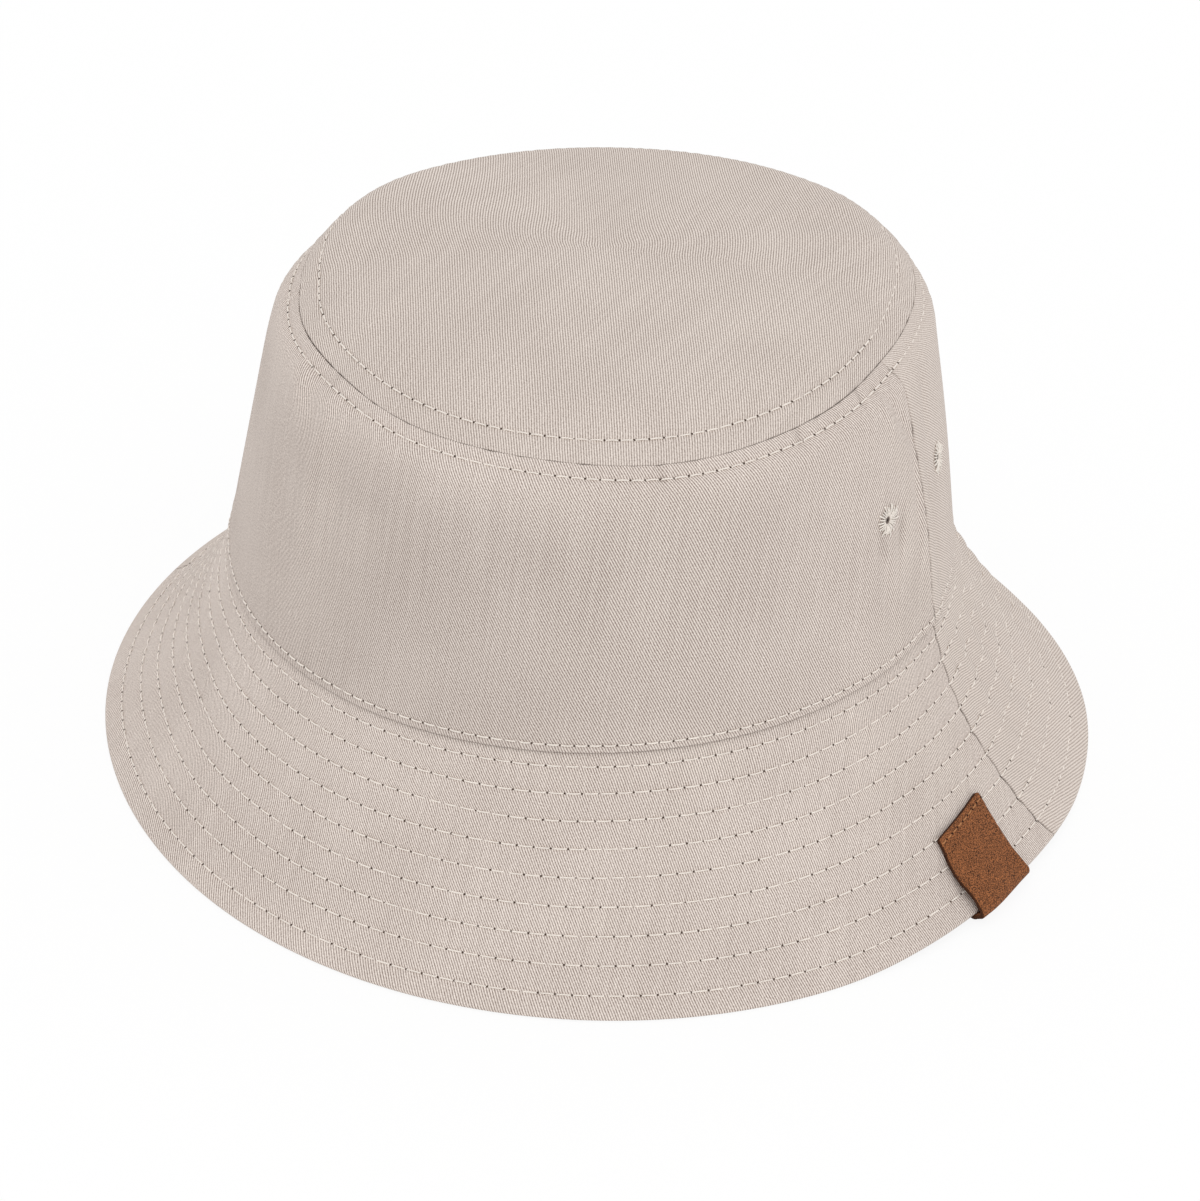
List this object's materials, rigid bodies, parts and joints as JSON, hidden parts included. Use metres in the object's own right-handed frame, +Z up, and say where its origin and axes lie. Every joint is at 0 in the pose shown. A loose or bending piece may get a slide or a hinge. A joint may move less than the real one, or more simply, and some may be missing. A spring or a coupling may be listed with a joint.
{
  "type": "bucket hat",
  "caption": "Cotton twill bucket hat with an oval tip, a tapered crown, a bell-shaped row-stitched brim, embroidered air holes and a folded suede tab.",
  "frame": {"origin": "centre of the brim's outline, on the surface that the brim's edge stands on", "axes": "+Z up through the crown, -Y to the front of the hat, +X to the side with the tab"},
  "size_m": [0.2527, 0.2482, 0.1338],
  "materials": {
    "twill": "stone cotton twill, matte",
    "interlining": "white woven stiffener",
    "band": "stone cotton, matte",
    "tape": "pale woven tape",
    "thread": "pale spun sewing thread",
    "suede": "brown suede, napped",
    "tab_thread": "brown sewing thread",
    "label": "white satin ribbon, blank"
  },
  "bodies": {
    "hat": {"crown_tip": "twill", "crown_side_front": "twill", "crown_side_back": "twill", "brim_upper_front": "twill", "brim_upper_back": "twill", "brim_lower_front": "twill", "brim_lower_back": "twill", "brim_interlining": "interlining", "sweatband": "band", "tip_seam_tape": "tape", "side_seam_tape_right": "tape", "side_seam_tape_left": "tape", "eyelet_right_front": "thread", "eyelet_right_back": "thread", "eyelet_left_front": "thread", "eyelet_left_back": "thread", "tip_stitch_upper": "thread", "tip_stitch_lower": "thread", "crown_base_stitch": "thread", "brim_stitch_1": "thread", "brim_stitch_2": "thread", "brim_stitch_3": "thread", "brim_stitch_4": "thread", "brim_stitch_5": "thread", "brim_stitch_6": "thread", "brim_stitch_7": "thread", "brim_stitch_8": "thread", "brim_stitch_9": "thread", "suede_tab": "suede", "tab_stitch": "tab_thread"},
    "label": {"care_label": "label"}
  },
  "joints": [
    {"name": "label_swing", "type": "hinge", "parent": "hat", "child": "label", "pos_m": [0, 0.08715, 0.08138], "axis": [-1, 0, 0], "range_deg": [0, 120]}
  ]
}
